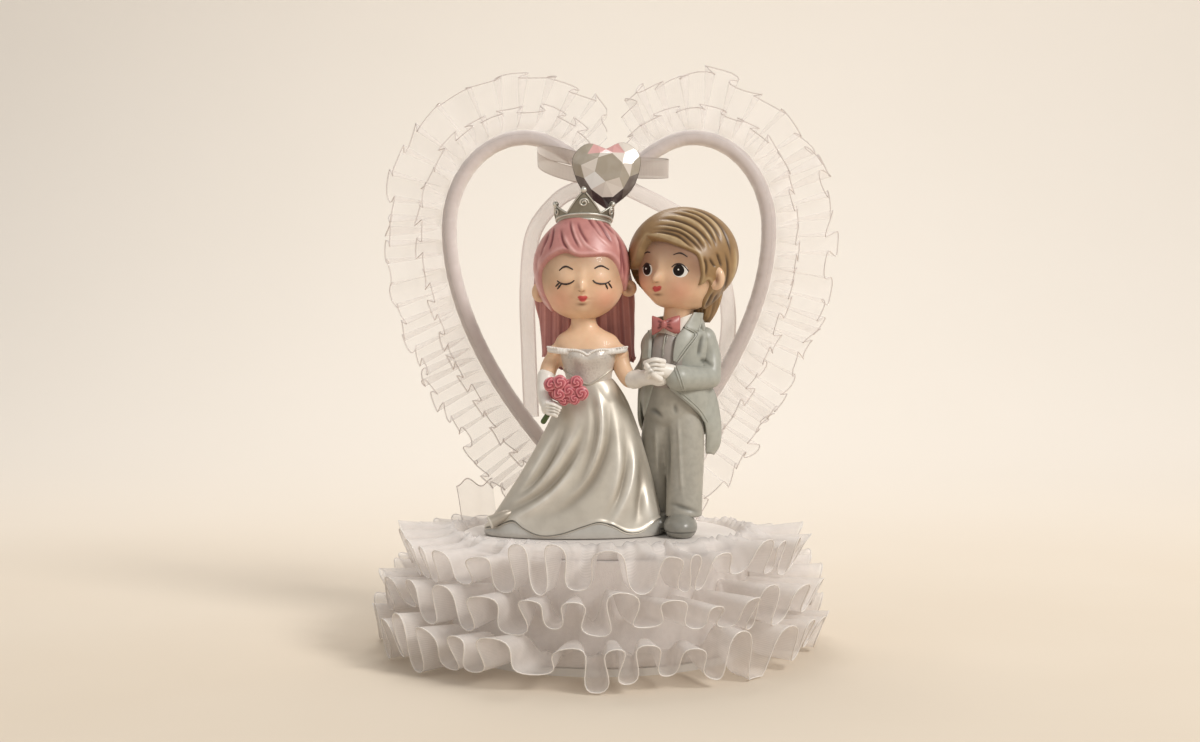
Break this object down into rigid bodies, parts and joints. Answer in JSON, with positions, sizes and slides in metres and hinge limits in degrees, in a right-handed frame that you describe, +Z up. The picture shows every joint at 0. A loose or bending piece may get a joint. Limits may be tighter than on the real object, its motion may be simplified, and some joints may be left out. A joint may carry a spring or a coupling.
{
  "type": "wedding cake topper",
  "caption": "Wedding cake topper: a bride and groom figurine on a round organza-frilled base under a frilled heart arch with a bow and a heart gem.",
  "frame": {"origin": "centre of the base board's underside", "axes": "+Z up, -Y towards the front of the couple, +X to the viewer's right"},
  "size_m": [0.1441, 0.14, 0.1772],
  "materials": {
    "card": "plain card",
    "foam": "expanded foam",
    "satin": "satin ribbon",
    "organza": "sheer organza",
    "ribbon": "sheer ribbon",
    "wire": "drawn wire",
    "crystal": "clear faceted acrylic",
    "foil": "silver foil",
    "gown": "pearl paint on cast resin",
    "lace": "pale pearl paint on cast resin",
    "skin": "matte paint on cast resin",
    "pink_hair": "matte paint on cast resin",
    "silver": "antique silver paint on cast resin",
    "glove": "matte paint on cast resin",
    "rose": "matte paint on cast resin",
    "green": "matte paint on cast resin",
    "coat": "satin paint on cast resin",
    "trousers": "satin paint on cast resin",
    "shoe": "gloss paint on cast resin",
    "shirt": "matte paint on cast resin",
    "tie": "satin paint on cast resin",
    "brown_hair": "matte paint on cast resin"
  },
  "bodies": {
    "base": {"base_board": "card", "base_core": "foam", "base_top_disc": "satin", "base_ruffle_upper": "organza", "base_ruffle_middle": "organza", "base_ruffle_lower": "organza", "base_trim_end": "organza", "bride_gown": "gown", "bride_hem_band": "lace", "bride_bodice": "lace", "bride_shoulders": "skin", "bride_sleeve_band": "lace", "bride_head": "skin", "bride_hair": "pink_hair", "bride_tiara": "silver", "bride_arm_left": "skin", "bride_arm_right": "skin", "bride_glove_left": "glove", "bride_glove_right": "glove", "bouquet_roses": "rose", "bouquet_stem": "green", "groom_shoe_left": "shoe", "groom_shoe_right": "shoe", "groom_trousers": "trousers", "groom_vest": "coat", "groom_shirt_collar": "shirt", "groom_coat": "coat", "groom_bow_tie": "tie", "groom_head": "skin", "groom_hair": "brown_hair", "groom_sleeve_left": "coat", "groom_sleeve_right": "coat", "groom_glove": "glove"},
    "arch": {"arch_wire": "wire", "arch_wrap": "satin", "arch_ruffle_back_left": "organza", "arch_ruffle_back_right": "organza", "arch_ruffle_front_left": "organza", "arch_ruffle_front_right": "organza", "bow_loop_left": "ribbon", "bow_loop_right": "ribbon", "ribbon_tail_left": "ribbon", "ribbon_tail_right": "ribbon", "bow_knot": "ribbon", "gem_foil_back": "foil", "gem_crystal": "crystal"}
  },
  "joints": [
    {"name": "arch_lift", "type": "slide", "parent": "base", "child": "arch", "axis": [0, 0, 1], "range_m": [0, 0.03]}
  ]
}
